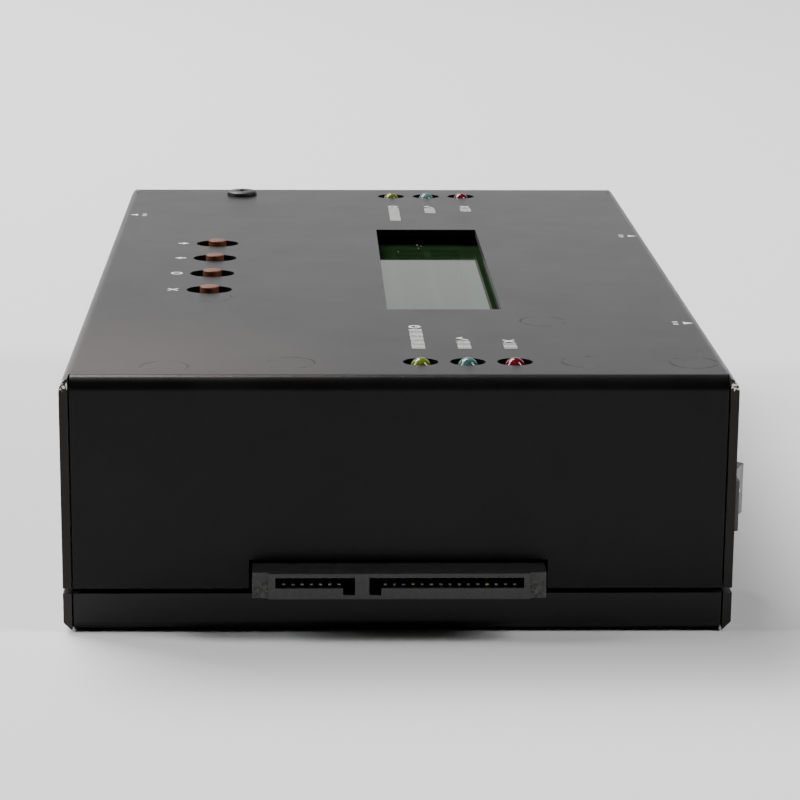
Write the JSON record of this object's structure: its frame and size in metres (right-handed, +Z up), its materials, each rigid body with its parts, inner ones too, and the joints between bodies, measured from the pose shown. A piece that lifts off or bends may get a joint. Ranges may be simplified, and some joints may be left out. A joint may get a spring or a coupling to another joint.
{
  "type": "drive docking station",
  "caption": "Stand-alone docking and copying station: folded steel case with a drive socket at each end, a display, push buttons, lamps and a rocker power switch.",
  "frame": {"origin": "middle of the flat underside of the tray", "axes": "+Z up, +Y along the case from the front socket to the rear socket, +X towards the wall with the power switch"},
  "size_m": [0.098, 0.161, 0.0373],
  "materials": {
    "black_paint": "semi-gloss black powder coat on folded steel",
    "black_plastic": "black moulded plastic",
    "grey_plastic": "smooth dark moulded plastic",
    "orange_plastic": "orange-brown moulded plastic",
    "white_plastic": "white moulded plastic",
    "board_green": "green solder mask on glass fibre board",
    "display_glass": "dark green glass with a polarising film",
    "contact_metal": "gold-plated contacts",
    "bright_steel": "zinc-plated steel",
    "black_steel": "blackened steel",
    "brass": "nickelled brass",
    "aluminium": "plain anodised",
    "lamp_yellow": "tinted clear moulding",
    "lamp_clear": "clear moulding with a teal cast",
    "lamp_red": "tinted clear moulding"
  },
  "bodies": {
    "case": {"top_cover": "black_paint", "base_tray": "black_paint", "main_board": "board_green", "control_board": "board_green", "board_post_1": "bright_steel", "board_post_2": "bright_steel", "board_post_3": "bright_steel", "board_post_4": "bright_steel", "board_screw_1": "bright_steel", "board_screw_2": "bright_steel", "board_screw_3": "bright_steel", "board_screw_4": "bright_steel", "lcd_board": "board_green", "lcd_frame": "black_steel", "lcd_glass": "display_glass", "lcd_light_block": "white_plastic", "lcd_header": "black_plastic", "key_switch_1": "black_plastic", "key_switch_2": "black_plastic", "key_switch_3": "black_plastic", "key_switch_4": "black_plastic", "lamp_front_yellow": "lamp_yellow", "lamp_front_clear": "lamp_clear", "lamp_front_red": "lamp_red", "lamp_rear_yellow": "lamp_yellow", "lamp_rear_clear": "lamp_clear", "lamp_rear_red": "lamp_red", "lamp_holder_front": "black_plastic", "lamp_holder_rear": "black_plastic", "drive_socket_front": "black_plastic", "drive_socket_rear": "black_plastic", "signal_contacts_front": "contact_metal", "power_contacts_front": "contact_metal", "signal_contacts_rear": "contact_metal", "power_contacts_rear": "contact_metal", "power_switch": "black_plastic", "power_inlet": "black_plastic", "inlet_pin": "brass", "port_shell": "bright_steel", "port_insert": "black_plastic", "port_screw_1": "bright_steel", "port_screw_2": "bright_steel", "usb_shell": "bright_steel", "usb_tongue": "white_plastic", "side_screw_left_near": "black_steel", "side_screw_left_far": "black_steel", "side_screw_right_near": "black_steel", "side_screw_right_far": "black_steel", "top_screw": "black_steel", "top_post": "bright_steel", "copy_chip": "black_plastic", "heat_sink": "aluminium", "capacitor": "black_plastic", "buzzer": "black_plastic", "board_link": "black_plastic"},
    "button_1": {"button_plunger_1": "orange_plastic"},
    "button_2": {"button_plunger_2": "orange_plastic"},
    "button_3": {"button_plunger_3": "orange_plastic"},
    "button_4": {"button_plunger_4": "orange_plastic"},
    "rocker": {"power_rocker": "grey_plastic"}
  },
  "joints": [
    {"name": "button_1_press", "type": "slide", "parent": "case", "child": "button_1", "axis": [0, 0, -1], "range_m": [0, 0.00025], "stiffness_N_per_m": 600},
    {"name": "button_2_press", "type": "slide", "parent": "case", "child": "button_2", "axis": [0, 0, -1], "range_m": [0, 0.00025], "stiffness_N_per_m": 600},
    {"name": "button_3_press", "type": "slide", "parent": "case", "child": "button_3", "axis": [0, 0, -1], "range_m": [0, 0.00025], "stiffness_N_per_m": 600},
    {"name": "button_4_press", "type": "slide", "parent": "case", "child": "button_4", "axis": [0, 0, -1], "range_m": [0, 0.00025], "stiffness_N_per_m": 600},
    {"name": "rocker_tip", "type": "hinge", "parent": "case", "child": "rocker", "pos_m": [0.0455, -0.056, 0.01395], "axis": [0, 0, 1], "range_deg": [0, 25]}
  ]
}
